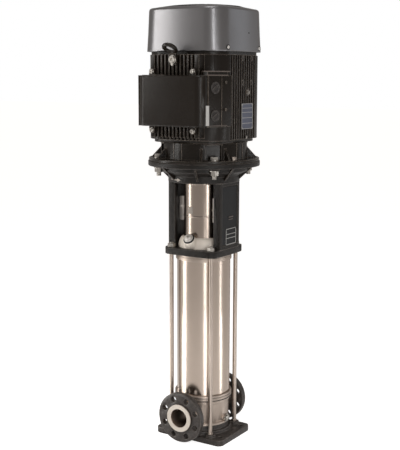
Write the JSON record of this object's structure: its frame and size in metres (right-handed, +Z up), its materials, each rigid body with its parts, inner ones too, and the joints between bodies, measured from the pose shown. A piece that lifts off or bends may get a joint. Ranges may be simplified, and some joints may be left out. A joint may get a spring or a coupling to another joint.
{
  "type": "vertical multistage pump",
  "caption": "Upright in-line multistage water pump: black base and flanges, stainless sleeve with stay bolts, coupling stool and flange-mounted ribbed motor with fan cover.",
  "frame": {"origin": "on the pump axis at the underside of the base plate", "axes": "+Z up along the shaft, inlet port and terminal box towards -Y, outlet port towards +Y, +X along the long side of the base plate"},
  "size_m": [0.3649, 0.4386, 1.4245],
  "materials": {
    "black_casting": "semi-gloss black coating on a cast surface",
    "black_paint": "semi-gloss black paint",
    "cast_stainless": "fine blasted stainless casting",
    "sleeve_stainless": "polished stainless sheet",
    "bright_steel": "bright steel",
    "grey_metal": "satin metallic grey coating",
    "core_steel": "stacked electrical sheet",
    "seal_carbon": "dense dark seal face",
    "board_plastic": "dark moulded plastic",
    "fan_plastic": "black moulded plastic"
  },
  "bodies": {
    "pump": {"base_plate": "black_casting", "motor_stool": "black_casting", "motor_flange_shield": "black_paint", "motor_housing": "black_paint", "terminal_box": "black_paint", "terminal_box_cover": "black_paint", "lifting_eyes": "black_casting", "rear_end_shield": "black_paint", "pump_base": "cast_stainless", "pump_head": "cast_stainless", "outer_sleeve": "sleeve_stainless", "coupling_guard_front": "sleeve_stainless", "coupling_guard_rear": "sleeve_stainless", "stay_bolts": "bright_steel", "stay_bolt_nuts": "bright_steel", "drain_plug": "bright_steel", "priming_plug": "bright_steel", "motor_flange_bolts": "bright_steel", "motor_flange_nuts": "bright_steel", "lifting_eye_bolts": "bright_steel", "chamber_stack": "sleeve_stainless", "motor_bearings": "bright_steel", "stator_core": "core_steel", "shaft_seal": "seal_carbon", "terminal_board": "board_plastic", "fan_cover": "grey_metal"},
    "shaft_line": {"pump_shaft": "bright_steel", "impellers": "sleeve_stainless", "coupling_halves": "bright_steel", "motor_shaft": "bright_steel", "rotor_core": "core_steel", "fan": "fan_plastic"},
    "inlet_loose_flange": {"inlet_flange": "black_casting"},
    "outlet_loose_flange": {"outlet_flange": "black_casting"},
    "vent": {"vent_screw": "bright_steel"}
  },
  "joints": [
    {"name": "shaft_spin", "type": "hinge", "parent": "pump", "child": "shaft_line", "pos_m": [0, 0, 0.9], "axis": [0, 0, 1], "continuous": true},
    {"name": "inlet_flange_turn", "type": "hinge", "parent": "pump", "child": "inlet_loose_flange", "pos_m": [0, -0.1345, 0.09], "axis": [0, 1, 0], "continuous": true},
    {"name": "outlet_flange_turn", "type": "hinge", "parent": "pump", "child": "outlet_loose_flange", "pos_m": [0, 0.1345, 0.09], "axis": [0, 1, 0], "continuous": true},
    {"name": "vent_screw_turn", "type": "hinge", "parent": "pump", "child": "vent", "pos_m": [0, -0.08824, 0.67774], "axis": [0, -0.7071, 0.7071], "range_deg": [0, 360]}
  ]
}
